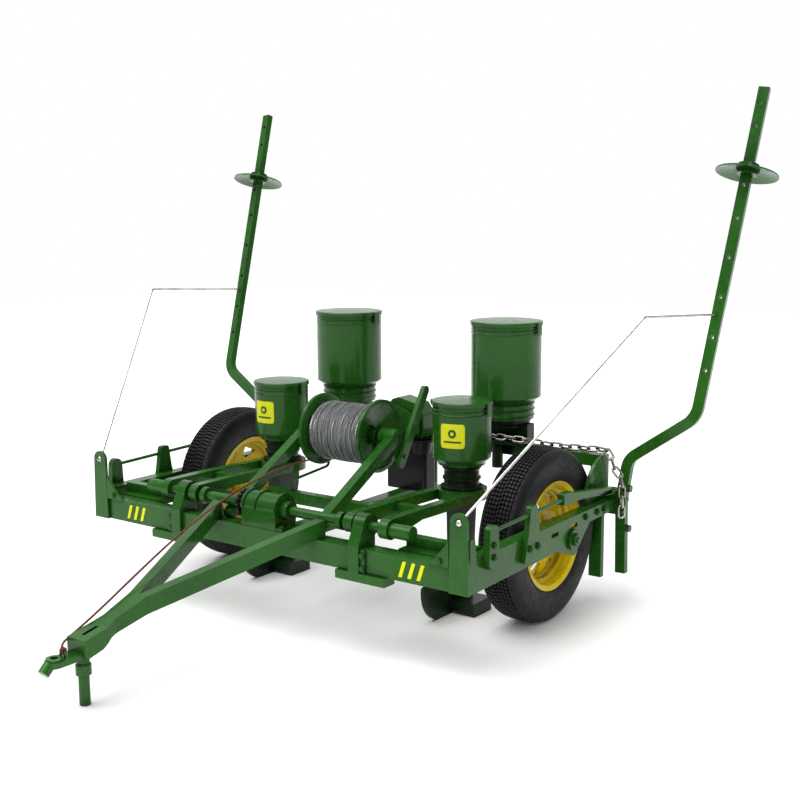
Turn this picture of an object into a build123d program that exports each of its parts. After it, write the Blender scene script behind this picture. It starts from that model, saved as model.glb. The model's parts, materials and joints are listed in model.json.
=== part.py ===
from build123d import *
import os
from math import cos, pi, radians, sin, sqrt, tan

# Two-row trailed corn planter with a check-wire reel and two swing-up row markers.
# Millimetres.  While it is laid out, x runs to the machine's left, y to the rear from the
# front face of the front bar, and z up from the ground.  The finished parts are moved
# along y, so that the origin is on the ground under the middle of the overall length.

# ---------------------------------------------------------------- driving sizes
# chassis
FRAME_WIDTH = 1910.0        # outside of one side frame to outside of the other
BAR_BOTTOM = 318.0          # underside of the front bar
BAR_HEIGHT = 90.0
BAR_DEPTH = 70.0
BAR_WALL = 8.0
BRACKET_WIDTH = 82.0        # upright at each front corner
BRACKET_THICK = 12.0
BRACKET_HEAD = 35.0         # radius of its rounded head
BALL_HOLE = 15.0            # radius of the seat for the marker brace's ball
SIDE_TOP = 440.0            # top of the side frames
SIDE_FLANGE = 45.0          # inward flange of a side frame, measured from its web
WEB = 10.0                  # web of a side frame
FLANGE = 8.0
SIDE_END = 1075.0           # rear end of the side frames
REAR_TUBE = 50.0            # square tube of the rear bar
REAR_BOTTOM = 570.0         # underside of the rear bar
REAR_Y = 1075.0             # front face of the rear bar
TUBE_WALL = 6.0
LEG_BOTTOM = 93.0           # lower end of the legs that hang from the rear corners
HINGE_THICK = 12.0
RAIL_TOP = 405.0            # top of the centre rail, on which the cross bar stands
RAIL_X = (30.0, 90.0)
GUIDE = (-187.0, 640.0, 560.0)      # middle of the ring that leads the trip rope
STAY_RADIUS = 7.0
STAY_OUT = 11.0             # from the side frame's face to the stay rod's axis
# wheels
AXLE_Y = 740.0
TYRE_RADIUS = 350.0
TYRE_WIDTH = 168.0
CROWN = 24.0                # thickness of the tyre under its tread
RIM_RADIUS = 219.0
RIM_HALF = 74.0             # from the wheel's centre plane to the rim's edge
WHEEL_INSET = 153.0         # from a side frame's face to the wheel's centre plane
AXLE_RADIUS = 22.5
HAND_HOLES = 8
LUG_BOLTS = 5
# rock shaft
SHAFT_Y = 60.0
SHAFT_Z = 480.0
SHAFT_RADIUS = 20.0
CLUTCH_X = (-108.0, 67.0)
CLUTCH_RADIUS = 58.0
SPROCKET_TEETH = 16
FOOT_TAB = 34.0             # how far the clutch's foot stands out to the left
FOOT_THICK = 12.0
CLAMP_WALL = 16.0
# rows
ROW_SPACING = 965.0
FLANGE_Z = (488.0, 508.0)   # the casting that carries the seed base
SEED_Y = 673.0              # axis of a seed can
SEED_RADIUS = 119.0
SEED_BOTTOM = 607.0
SEED_TOP = 856.0
SEED_TUBE = 30.0
PLATE_RADIUS = 68.0
PLATE_THICK = 9.0
PLATE_PIN = 8.0
FERT_X = 430.0              # axis of a fertiliser can
FERT_Y = 1100.0
FERT_RADIUS = 151.0
FERT_FOOT = 122.0
FERT_BOTTOM = 730.0
FERT_SHOULDER = 826.0
FERT_TOP = 1138.0
CAN_WALL = 3.0
LID_THICK = 12.0
LID_OVER = 5.0              # how far a lid's rim stands out past its can
HINGE_PIN = 4.0
HINGE_OUT = 9.0             # from the lid's rim to the hinge's axis
# reel and hand lever
REEL_Y = 560.0
REEL_Z = 700.0
REEL_RADIUS = 152.0
REEL_HALF = 158.0           # outer face of a reel flange
REEL_SHAFT = 16.0
BARREL = 62.0
DISH = 34.0                 # how far a reel flange leans out from barrel to rim
CABLE_RADIUS = 125.0
ARM_X = 225.0               # centre plane of a reel arm
LEVER_Y = 578.0
LEVER_Z = 625.0
LEVER_LOW = (562.0, 597.0)
LEVER_HIGH = (733.0, 878.0)
LEVER_PIN = 9.0
# tongue
TONGUE_SLOPE = 0.243        # rise of the tongue for each mm towards the rear
TONGUE_SPREAD = 0.366       # sideways run of each tongue bar for each mm to the rear
TONGUE_FORK = -634.0        # where the two bars come together
TONGUE_TOP = 470.0          # height of the bars' top edge over the front face of the bar
TONGUE_BAR = 43.0           # width of a bar, measured along x
TONGUE_DEPTH = 64.0
HEAD_FRONT = -912.0
HITCH_Y = -1002.0           # hitch pin
HITCH_PIN_RADIUS = 14.0
STAPLE_Y = -967.0
STAPLE_Z = 215.0
STAPLE_WIRE = 4.0
JACK_Y = -886.0
JACK_RADIUS = 19.0
JACK_TOP = 140.0
JACK_TRAVEL = 60.0
# markers; x is measured from the side frame's face
MARKER_REAR_OUT = 2.0       # rear pivot
MARKER_FRONT_IN = 38.0      # front pivot
MARKER_Y = 1165.0
MARKER_BAR = 44.0
MARKER_THICK = 30.0
MARKER_BOSS = 30.0          # from the mid plane of the arm to the face its boss runs on
PIN_RADIUS = 14.0
DISC_RADIUS = 126.0
DISC_PLACE = 0.75           # place of the disc along the pole, from bend to tip
HOLE_PLACES = (0.14, 0.24, 0.36, 0.48, 0.60, 0.70, 0.88, 0.95)
HUB_RADIUS = 33.0
HUB_HALF = 14.0
ROD_PLACE = 0.31            # where the brace rod meets the pole
ROD_RADIUS = 5.0
# rear drive, chain and rope
CASE_X = (-40.0, 170.0)
CASE_Y = (860.0, 950.0)
CASE_TOP = 640.0
TRIP_X = 36.0
TRIP_Y = 822.0
TRIP_Z = 664.0
ROPE_RADIUS = 4.0
LINK_WIRE = 4.5             # radius of the chain's wire
LINK_LENGTH = 60.0
LINK_WIDTH = 34.0
# fits
RUN = 0.05                  # radial clearance of a shaft that turns in its bore
GAP = 0.3                   # clearance between faces of pieces that move past each other

# ---------------------------------------------------------------- sizes worked out
HALF = FRAME_WIDTH / 2
BAR_TOP = BAR_BOTTOM + BAR_HEIGHT
WEB_IN = HALF - WEB
FLANGE_IN = WEB_IN - SIDE_FLANGE
TRACK_HALF = HALF - WHEEL_INSET
AXLE_Z = TYRE_RADIUS
ROW_X = ROW_SPACING / 2
REAR_TOP = REAR_BOTTOM + REAR_TUBE
REAR_END = REAR_Y + REAR_TUBE
REAR_HALF = FLANGE_IN
BRACKET_X = (HALF + 2.0 - BRACKET_WIDTH, HALF + 2.0)
STAY_X = HALF + STAY_OUT
CHAIN_EYE = (HALF + 7.0, 1078.0, 485.0)
CHAIN_Z = REAR_TOP + 14.5
LEG_X = (FLANGE_IN - 55.0, FLANGE_IN)
LEG_Y = (REAR_END - 28.0, REAR_END)
SHAFT_HALF = ROW_X + 192.5
CRANK_X = (ROW_X - 144.0, ROW_X - 120.0)
CLAMP_X = (ROW_X - 48.0, ROW_X + 2.0)
ARM_INNER = (ROW_X - 100.0, ROW_X - 60.0)
ARM_OUTER = (ROW_X + 60.0, ROW_X + 100.0)
SPROCKET_X = (CLUTCH_X[0] - 34.0, CLUTCH_X[0] - 18.0)
LEVER_X = (ARM_X + 22.0, ARM_X + 42.0)
MARKER_REAR = (HALF + MARKER_REAR_OUT, MARKER_Y, 422.0)
MARKER_FRONT = (HALF - MARKER_FRONT_IN, -6.0, 573.0)
MARKER_FOOT = (HALF + 8.0, MARKER_Y, 110.0)
MARKER_KNEE = (HALF + 30.0, MARKER_Y, 600.0)
MARKER_BEND = (HALF + 317.0, MARKER_Y, 800.0)
MARKER_TIP = (HALF + 388.0, 1580.0, 2100.0)
ROD_BEND = (HALF + 318.0, 654.0, 1242.0)


# ---------------------------------------------------------------- shapes
def block(x, y, z):
    """Box between three (low, high) pairs."""
    box = Box(x[1] - x[0], y[1] - y[0], z[1] - z[0])
    return Pos(sum(x) / 2, sum(y) / 2, sum(z) / 2) * box


def bar(start, end, radius):
    """Round bar between two points."""
    start, end = Vector(*start), Vector(*end)
    plane = Plane(origin=start, z_dir=end - start)
    return extrude(plane * Circle(radius), amount=(end - start).length)


def outline(points, radius=0):
    """Face inside a closed outline, its corners rounded where a radius is given."""
    if radius:
        return make_face(FilletPolyline(*points, radius=radius, close=True))
    return make_face(Polyline(*points, close=True))


def eye(a, radius_a, b, radius_b):
    """Face of a link that wraps two circles."""
    circles = [*(Pos(*a) * Circle(radius_a)).edges(), *(Pos(*b) * Circle(radius_b)).edges()]
    return make_hull(circles)


def side_plate(face, x):
    """Plate drawn in (y, z) and standing between two x values."""
    return extrude(Plane.YZ.offset(x[0]) * face, amount=x[1] - x[0])


def front_plate(face, y):
    """Plate drawn in (x, z) and standing between two y values."""
    return extrude(Plane.XZ.offset(-y[1]) * face, amount=y[1] - y[0])


def flat_plate(face, z):
    """Plate drawn in (x, y) and lying between two z values."""
    return extrude(Plane.XY.offset(z[0]) * face, amount=z[1] - z[0])


def turned_x(points, centre):
    """Ring or disc turned about a line along x; points are (along, radius)."""
    return Pos(*centre) * revolve(outline(points), Axis.X)


def turned_z(points, centre):
    """Ring or disc turned about a vertical line; points are (radius, height)."""
    return Pos(*centre) * revolve(Plane.XZ * outline(points), Axis.Z)


def hex_bolt(at, direction, across, height):
    """Hexagon bolt head standing on a face, with a low round end on top."""
    plane = Plane(origin=at, z_dir=direction)
    head = extrude(plane * RegularPolygon(across / 2, 6, major_radius=False), amount=height)
    end = extrude(plane.offset(height) * Circle(across / 4), amount=height / 3)
    return head + end


def square_tube(x, y, z, wall, along):
    """Square tube, open at both ends, along axis 0, 1 or 2."""
    hole = [(low + wall, high - wall) for low, high in (x, y, z)]
    ends = (x, y, z)[along]
    hole[along] = (ends[0] - wall, ends[1] + wall)
    return block(x, y, z) - block(*hole)


def to_right(shape):
    """The mirror image on the machine's right-hand side."""
    return mirror(shape, about=Plane.YZ)


def along(start, end, share):
    """Point that lies a share of the way from start to end."""
    return Vector(*start) + (Vector(*end) - Vector(*start)) * share


# ---------------------------------------------------------------- chassis


def make_front_bar():
    tube_x = (-WEB_IN, WEB_IN)
    shape = square_tube(tube_x, (0, BAR_DEPTH), (BAR_BOTTOM, BAR_TOP), BAR_WALL, 0)
    brace_y = (BAR_DEPTH + 50.0, BAR_DEPTH + 90.0)
    for side in (-1, 1):
        ends = sorted((side * (ROW_X + 120.0), side * FLANGE_IN))
        rail = block(ends, brace_y, (BAR_TOP - 3.0, BAR_TOP + 42.0))
        web = block(ends, (BAR_DEPTH, brace_y[0]), (BAR_TOP - 3.0, BAR_TOP + 5.0))
        shape += rail + web
    return shape


def make_front_bracket():
    """Upright at the front corner, which holds the front ball of the marker brace."""
    mid = sum(BRACKET_X) / 2
    low, high = BAR_BOTTOM, MARKER_FRONT[2]
    edge = [(BRACKET_X[0], low), (BRACKET_X[1], low), (mid + BRACKET_HEAD, high), (mid - BRACKET_HEAD, high)]
    face = outline(edge) + Pos(mid, high) * Circle(BRACKET_HEAD)
    face -= Pos(MARKER_FRONT[0], high) * Circle(BALL_HOLE)
    shape = front_plate(face, (-BRACKET_THICK, 0))
    flare = Cone(BALL_HOLE, BALL_HOLE + 12.0, BRACKET_THICK / 2 + 1.0, align=(Align.CENTER, Align.CENTER, Align.MIN))
    shape -= Pos(MARKER_FRONT[0], -BRACKET_THICK / 2, high) * Rot(-90, 0, 0) * flare
    flange = [(0, SIDE_TOP), (42.0, SIDE_TOP), (30.0, SIDE_TOP + 75.0), (0, SIDE_TOP + 75.0)]
    shape += side_plate(outline(flange), (HALF - 12.0, BRACKET_X[1]))
    wing = [(BRACKET_X[0], BAR_TOP), (BRACKET_X[0], SIDE_TOP + 62.0), (BRACKET_X[0] - 62.0, BAR_TOP + 20.0),
            (BRACKET_X[0] - 90.0, BAR_TOP)]
    return shape + front_plate(outline(wing), (-BRACKET_THICK, 0))


def make_side_frame():
    """Channel with a deeper plate round the axle, and its two bolted brackets."""
    web_edge = [
        (0, BAR_BOTTOM), (AXLE_Y - 123.0, BAR_BOTTOM + 10.0), (AXLE_Y + 22.0, AXLE_Z - 72.0),
        (AXLE_Y + 58.0, AXLE_Z - 38.0), (AXLE_Y + 145.0, AXLE_Z + 38.0), (SIDE_END, AXLE_Z + 43.0),
        (SIDE_END, SIDE_TOP), (0, SIDE_TOP),
    ]
    web = side_plate(outline(web_edge), (WEB_IN, HALF))
    inner = (FLANGE_IN, WEB_IN)
    web += block(inner, (BAR_DEPTH, SIDE_END), (SIDE_TOP - FLANGE, SIDE_TOP))
    web += block(inner, (BAR_DEPTH, AXLE_Y - 125.0), (BAR_BOTTOM + 10.0, BAR_BOTTOM + 10.0 + FLANGE))
    for slot_y, slot_z in ((AXLE_Y - 140.0, SIDE_TOP - 42.0), (AXLE_Y + 12.0, SIDE_TOP - 38.0)):
        slot = Pos(slot_y, slot_z) * SlotOverall(56.0, 16.0)
        web -= side_plate(slot, (WEB_IN - 1.0, HALF + 1.0))
    web -= bar((WEB_IN - 1.0, AXLE_Y, AXLE_Z), (HALF + 1.0, AXLE_Y, AXLE_Z), AXLE_RADIUS)
    post = [(335.0, SIDE_TOP - 92.0), (472.0, SIDE_TOP - 92.0), (440.0, SIDE_TOP + 20.0),
            (425.0, SIDE_TOP + 118.0), (378.0, SIDE_TOP + 118.0), (362.0, SIDE_TOP + 20.0)]
    shape = web + side_plate(outline(post, 14.0), (HALF, HALF + 2 * STAY_OUT))
    shape -= bar((STAY_X, 300.0, stay_z(300.0)), (STAY_X, 500.0, stay_z(500.0)), STAY_RADIUS + GAP)
    foot = eye((118.0, stay_z(118.0)), 28.0, (118.0, SIDE_TOP - 20.0), 34.0)
    return shape + side_plate(foot, (HALF, HALF + 26.0))


def stay_z(y):
    """Height of the stay rod's axis, which climbs a little to the rear."""
    return 520.0 + (y - 117.0) * 0.022


def make_stay_rod():
    """Stay rod beside the wheel: threaded rod, clevis block, channel and chain eye."""
    start, end = (STAY_X, 118.0 + 28.5, stay_z(146.5)), (STAY_X, 640.0, stay_z(640.0))
    shape = bar(start, end, STAY_RADIUS)
    block_top = stay_z(640.0) + 24.0
    body = [(628.0, block_top - 46.0), (705.0, block_top - 54.0), (705.0, block_top - 4.0), (628.0, block_top)]
    shape += side_plate(outline(body, 6.0), (HALF - 8.0, HALF + 22.0))
    arm = [(690.0, block_top - 44.0), (1062.0, 470.0), (1062.0, 500.0), (690.0, block_top - 8.0)]
    shape += side_plate(outline(arm), (HALF - 6.0, HALF + 20.0))
    shape -= side_plate(outline([(730.0, 486.0), (1040.0, 478.0), (1040.0, 494.0), (730.0, 508.0)]),
                        (HALF + 6.0, HALF + 22.0))
    ring = Pos(CHAIN_EYE) * (Plane.XY * (Circle(17.0) - Circle(8.0)))
    return shape + extrude(ring, amount=7.0, both=True)


def make_axle():
    """Stub axle with its outer flange, shoulder and retaining nut."""
    hub_in, hub_out = TRACK_HALF - RIM_HALF - 2.0, TRACK_HALF + RIM_HALF + 2.0
    inner_end = hub_in - 26.0
    shape = bar((inner_end, AXLE_Y, AXLE_Z), (HALF + 12.0, AXLE_Y, AXLE_Z), AXLE_RADIUS)
    shape += bar((hub_out + 8.0, AXLE_Y, AXLE_Z), (WEB_IN, AXLE_Y, AXLE_Z), 36.0)
    shape += bar((HALF, AXLE_Y, AXLE_Z), (HALF + 12.0, AXLE_Y, AXLE_Z), 42.0)
    shape += hex_bolt((HALF + 12.0, AXLE_Y, AXLE_Z), (1, 0, 0), 46.0, 14.0)
    return shape + hex_bolt((hub_in - 4.0, AXLE_Y, AXLE_Z), (-1, 0, 0), 62.0, 18.0)


def make_rear_bar():
    return square_tube((-REAR_HALF, REAR_HALF), (REAR_Y, REAR_END), (REAR_BOTTOM, REAR_TOP), TUBE_WALL, 0)


def marker_axis():
    """Unit vector along the marker's pivot line, from the front ball to the rear pin."""
    return (Vector(*MARKER_REAR) - Vector(*MARKER_FRONT)).normalized()


def on_marker_axis(y):
    """Point of the marker's pivot line at a given y."""
    axis = marker_axis()
    return Vector(*MARKER_REAR) + axis * ((y - MARKER_REAR[1]) / axis.Y)


def make_rear_corner():
    """Upright between side frame and rear bar, with the leg and the marker's hinge pin."""
    upright = [(930.0, SIDE_TOP), (SIDE_END, SIDE_TOP), (REAR_END, SIDE_TOP), (REAR_END, REAR_TOP),
               (REAR_Y - 10.0, REAR_TOP)]
    side = Polyline((upright[-1]), *reversed(upright[1:-1]), upright[0])
    curve = ThreePointArc(upright[0], (965.0, 555.0), upright[-1])
    shape = side_plate(make_face([*side.edges(), curve]), (FLANGE_IN, FLANGE_IN + 14.0))
    leg = square_tube(LEG_X, LEG_Y, (LEG_BOTTOM, REAR_BOTTOM), 5.0, 2)
    shape += leg + block(LEG_X, LEG_Y, (LEG_BOTTOM, LEG_BOTTOM + 5.0))
    plate_y = (REAR_END - HINGE_THICK, REAR_END)
    plate = [(FLANGE_IN, 370.0), (HALF + 22.0, 370.0), (HALF + 42.0, 400.0), (HALF + 42.0, 450.0),
             (HALF + 18.0, 475.0), (FLANGE_IN, 475.0)]
    shape += front_plate(outline(plate), plate_y)
    shape += block((WEB_IN, HALF), (SIDE_END, plate_y[0]), (AXLE_Z + 43.0, SIDE_TOP))
    face_y = MARKER_REAR[1] - MARKER_BOSS
    shape += bar(on_marker_axis(REAR_END - 6.0), on_marker_axis(face_y), 30.0)
    return shape + bar(on_marker_axis(REAR_END - 6.0), on_marker_axis(MARKER_REAR[1] + 40.0), PIN_RADIUS)


def make_cross_bar():
    """Bar under the reel, with the bent guide that leads the trip rope."""
    bar_y, bar_z = (380.0, 420.0), (RAIL_TOP, RAIL_TOP + 50.0)
    shape = square_tube((-320.0, ARM_INNER[0] - 12.0), bar_y, bar_z, 5.0, 0)
    guide_x, guide_y, guide_z = GUIDE
    bend = FilletPolyline((guide_x, 400.0, bar_z[1] - 3.0), (guide_x, 400.0, bar_z[1] + 45.0),
                          (guide_x, guide_y, guide_z - 40.0), (guide_x, guide_y, guide_z - 17.0), radius=20.0)
    shape += sweep(Plane(origin=bend @ 0, z_dir=bend % 0) * Circle(6.0), path=bend)
    return shape + Pos(guide_x, guide_y, guide_z) * Rot(90, 0, 0) * Torus(16.0, 5.0)


def make_centre_rail():
    rail = square_tube(RAIL_X, (BAR_DEPTH, REAR_Y - 12.0), (RAIL_TOP - 60.0, RAIL_TOP), 6.0, 1)
    return rail + block(RAIL_X, (REAR_Y - 12.0, REAR_Y), (RAIL_TOP - 60.0, REAR_TOP))


# ---------------------------------------------------------------- tongue
def tongue_top(y):
    return TONGUE_TOP + TONGUE_SLOPE * y


def tongue_inner(y):
    return TONGUE_SPREAD * (y - TONGUE_FORK)


def make_tongue_bar():
    """One leg of the tongue: its rear end rests on top of the front bar."""
    rear = SHAFT_Y - SHAFT_RADIUS - 3.0
    plan = [(tongue_inner(TONGUE_FORK), TONGUE_FORK), (tongue_inner(rear), rear),
            (tongue_inner(rear) + TONGUE_BAR, rear), (tongue_inner(TONGUE_FORK) + TONGUE_BAR, TONGUE_FORK)]
    side = [(TONGUE_FORK, tongue_top(TONGUE_FORK)), (rear, tongue_top(rear)), (rear, BAR_TOP), (0, BAR_TOP),
            (TONGUE_FORK, tongue_top(TONGUE_FORK) - TONGUE_DEPTH)]
    return flat_plate(outline(plan), (0, 600.0)) & side_plate(outline(side), (-10.0, 400.0))


def make_tongue_nose():
    """Front of the tongue: neck, forked head, hitch plate, rope staple and jack collar."""
    neck, head = TONGUE_FORK - 130.0, 45.0
    plan = [(-TONGUE_BAR, TONGUE_FORK), (TONGUE_BAR, TONGUE_FORK), (33.0, neck), (head, neck - 50.0),
            (head, HEAD_FRONT), (-head, HEAD_FRONT), (-head, neck - 50.0), (-33.0, neck)]
    fork_top = tongue_top(TONGUE_FORK)
    side = [(TONGUE_FORK, fork_top), (TONGUE_FORK, fork_top - TONGUE_DEPTH), (neck - 30.0, 215.0),
            (neck - 70.0, 188.0), (HEAD_FRONT + 14.0, 172.0), (HEAD_FRONT, 180.0), (HEAD_FRONT, 237.0),
            (neck - 50.0, 256.0), (neck, 273.0)]
    shape = flat_plate(outline(plan), (0, 600.0)) & side_plate(outline(side), (-60.0, 60.0))
    shape -= block((-7.0, 7.0), (JACK_Y + 4.0, neck - 55.0), (218.0, 320.0))
    collar = turned_z([(0, 108.0), (27.0, 108.0), (27.0, 142.0), (22.0, 150.0), (22.0, 176.0), (0, 176.0)],
                      (0, JACK_Y, 0))
    shape += collar
    hitch_z = (172.0, 192.0)
    tab = eye((0, HITCH_Y), 32.0, (0, HEAD_FRONT + 20.0), 34.0)
    shape += flat_plate(tab, hitch_z)
    shape += bar((0, HITCH_Y, hitch_z[1]), (0, HITCH_Y, hitch_z[1] + 8.0), 28.0)
    nose_start, nose_end = (0, HITCH_Y - 18.0, 184.0), (0, HITCH_Y - 46.0, 158.0)
    shape += bar(nose_start, nose_end, 20.0)
    shape -= bar((0, HITCH_Y, hitch_z[0] - 30.0), (0, HITCH_Y, hitch_z[1] + 20.0), HITCH_PIN_RADIUS)
    shape -= bar((0, HITCH_Y, hitch_z[0] - 30.0), (0, HITCH_Y, hitch_z[0]), HITCH_PIN_RADIUS + 6.0)
    shape -= bar((0, JACK_Y, 100.0), (0, JACK_Y, JACK_TOP + JACK_TRAVEL + 3.0), JACK_RADIUS + RUN)
    low, tall = hitch_z[1] - 2.0, STAPLE_Z
    staple = FilletPolyline((-11.0, STAPLE_Y, low), (-11.0, STAPLE_Y, tall), (11.0, STAPLE_Y, tall),
                            (11.0, STAPLE_Y, low), radius=9.0)
    wire = Plane(origin=staple @ 0, z_dir=staple % 0) * Circle(STAPLE_WIRE)
    return shape + sweep(wire, path=staple)


def make_jack_leg():
    leg = bar((0, JACK_Y, 0), (0, JACK_Y, JACK_TOP), JACK_RADIUS)
    return chamfer(leg.edges().sort_by(Axis.Z)[0], 3.0)


# ---------------------------------------------------------------- reel
def make_reel_arm():
    """Inclined arm from the front bar to the reel's bearing."""
    foot = (SHAFT_Y + 4.0, BAR_TOP + 20.0)
    face = eye(foot, 20.0, (REEL_Y, REEL_Z), 24.0) + Pos(REEL_Y, REEL_Z) * Circle(38.0)
    face &= Pos(REEL_Y / 2, BAR_TOP + 300.0) * Rectangle(2000.0, 600.0)
    shape = side_plate(face, (ARM_X - 20.0, ARM_X + 20.0))
    shape += bar((REEL_HALF + 10.0, REEL_Y, REEL_Z), (ARM_X + 20.0, REEL_Y, REEL_Z), 38.0)
    shape -= bar((REEL_HALF, REEL_Y, REEL_Z), (ARM_X + 21.0, REEL_Y, REEL_Z), REEL_SHAFT + RUN)
    shape -= bar((0, SHAFT_Y, SHAFT_Z), (400.0, SHAFT_Y, SHAFT_Z), SHAFT_RADIUS + 3.0)
    return shape


def make_lever_arm(shape):
    """The left reel arm also carries the pin of the hand lever."""
    lug = eye((REEL_Y, REEL_Z), 30.0, (LEVER_Y, LEVER_Z), 22.0)
    lug -= Pos(REEL_Y, REEL_Z) * Circle(REEL_SHAFT + RUN)
    shape += side_plate(lug, (ARM_X + 4.0, ARM_X + 20.0))
    return shape + bar((ARM_X + 20.0, LEVER_Y, LEVER_Z), (LEVER_X[1] + 8.0, LEVER_Y, LEVER_Z), LEVER_PIN)


def make_hand_lever():
    face = eye(LEVER_LOW, 19.0, LEVER_HIGH, 19.0) - Pos(LEVER_Y, LEVER_Z) * Circle(LEVER_PIN + RUN)
    return side_plate(face, (LEVER_X[0] + GAP, LEVER_X[1]))


def make_reel_spool():
    """Barrel with two dished flanges on its shaft."""
    root = REEL_HALF - DISH
    side = [(0, REEL_SHAFT - 0.5), (REEL_HALF - 40.0, REEL_SHAFT - 0.5), (REEL_HALF - 40.0, 34.0),
            (root + 6.0, BARREL), (REEL_HALF - 5.0, REEL_RADIUS - 16.0), (REEL_HALF, REEL_RADIUS - 14.0),
            (REEL_HALF, REEL_RADIUS), (REEL_HALF - 14.0, REEL_RADIUS), (REEL_HALF - 16.0, REEL_RADIUS - 5.0),
            (root, BARREL + 4.0), (root - 10.0, BARREL), (0, BARREL)]
    half = turned_x(side, (0, REEL_Y, REEL_Z))
    shape = half + to_right(half)
    hub = bar((-REEL_HALF + 8.0, REEL_Y, REEL_Z), (REEL_HALF - 8.0, REEL_Y, REEL_Z), 34.0)
    shaft = bar((-ARM_X - 34.0, REEL_Y, REEL_Z), (ARM_X + 18.0, REEL_Y, REEL_Z), REEL_SHAFT)
    end = bar((-ARM_X - 34.0, REEL_Y, REEL_Z), (-ARM_X - 20.0 - GAP, REEL_Y, REEL_Z), 26.0)
    return shape + hub + shaft + end


def make_reel_cable():
    """The wound wire, as one ring that fills the barrel between the flanges."""
    root = REEL_HALF - DISH
    slope = (REEL_RADIUS - 5.0 - BARREL - 4.0) / (DISH - 16.0)
    wide = root + (CABLE_RADIUS - BARREL - 4.0) / slope
    side = [(-root + 11.0, BARREL), (root - 11.0, BARREL), (root - 1.0, BARREL + 4.5), (wide - 1.5, CABLE_RADIUS - 3.0),
            (wide - 6.0, CABLE_RADIUS), (-wide + 6.0, CABLE_RADIUS), (-wide + 1.5, CABLE_RADIUS - 3.0),
            (-root + 1.0, BARREL + 4.5)]
    return turned_x(side, (0, REEL_Y, REEL_Z))


# ---------------------------------------------------------------- rock shaft


def make_clutch_housing():
    """Hollow casting on the front bar, in which the rock shaft turns."""
    low, axis = BAR_TOP, (SHAFT_Y, SHAFT_Z)
    base = outline([(2.0, low), (SHAFT_Y + CLUTCH_RADIUS, low), (SHAFT_Y + CLUTCH_RADIUS, SHAFT_Z),
                    (SHAFT_Y - CLUTCH_RADIUS, SHAFT_Z)])
    outer = base + Pos(*axis) * Circle(CLUTCH_RADIUS)
    shape = side_plate(outer, CLUTCH_X)
    rib = Pos(*axis) * Circle(CLUTCH_RADIUS + 6.0) & Pos(SHAFT_Y, SHAFT_Z + 55.0) * Rectangle(160.0, 110.0)
    for rib_x in (CLUTCH_X[0], CLUTCH_X[0] + 62.0, CLUTCH_X[1] - 12.0):
        shape += side_plate(rib, (rib_x, rib_x + 12.0))
    wall = 8.0
    inner_x = (CLUTCH_X[0] + wall, CLUTCH_X[1] - wall)
    shape -= bar((inner_x[0], *axis), (inner_x[1], *axis), CLUTCH_RADIUS - wall)
    shape += bar((CLUTCH_X[1], *axis), (CLUTCH_X[1] + 34.0, *axis), 36.0)
    shape -= bar((CLUTCH_X[0] - 1.0, *axis), (CLUTCH_X[1] + 35.0, *axis), SHAFT_RADIUS + RUN)
    flange = block((CLUTCH_X[0] - 8.0, CLUTCH_X[1] + FOOT_TAB), (4.0, BAR_DEPTH - 2.0), (low, low + FOOT_THICK))
    return shape + flange - bar((CLUTCH_X[0] - 30.0, *axis), (CLUTCH_X[1] + 60.0, *axis), SHAFT_RADIUS + RUN)


def make_clutch_sprocket():
    """Chain sprocket keyed on the rock shaft beside the clutch."""
    edge = []
    for tooth in range(SPROCKET_TEETH):
        for step, radius in ((-0.30, 49.0), (-0.15, 58.0), (0.15, 58.0), (0.30, 49.0)):
            turn = 2 * pi / SPROCKET_TEETH * (tooth + step)
            edge.append((SHAFT_Y + radius * cos(turn), SHAFT_Z + radius * sin(turn)))
    hub = (SPROCKET_X[0] - 22.0, SPROCKET_X[1] + 8.0)
    shape = side_plate(outline(edge), SPROCKET_X) + bar((hub[0], SHAFT_Y, SHAFT_Z), (hub[1], SHAFT_Y, SHAFT_Z), 32.0)
    return shape - bar((hub[0] - 5.0, SHAFT_Y, SHAFT_Z), (hub[1] + 5.0, SHAFT_Y, SHAFT_Z), SHAFT_RADIUS)


def make_rock_shaft():
    """Cross shaft with a lifting crank beside each row."""
    axis = (SHAFT_Y, SHAFT_Z)
    shape = bar((-SHAFT_HALF, *axis), (SHAFT_HALF, *axis), SHAFT_RADIUS)
    tip = (SHAFT_Y + 128.0, SHAFT_Z - 24.0)
    crank = side_plate(eye(axis, 34.0, tip, 17.0), CRANK_X)
    crank -= bar((CRANK_X[0] - 1.0, *tip), (CRANK_X[1] + 1.0, *tip), 8.0)
    collar = bar((ARM_INNER[1] + GAP, *axis), (CLAMP_X[0] - GAP, *axis), 26.0)
    sleeve = bar((ARM_OUTER[1] + GAP, *axis), (SHAFT_HALF, *axis), 28.0)
    return shape + crank + to_right(crank) + collar + to_right(collar) + sleeve + to_right(sleeve)


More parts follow.
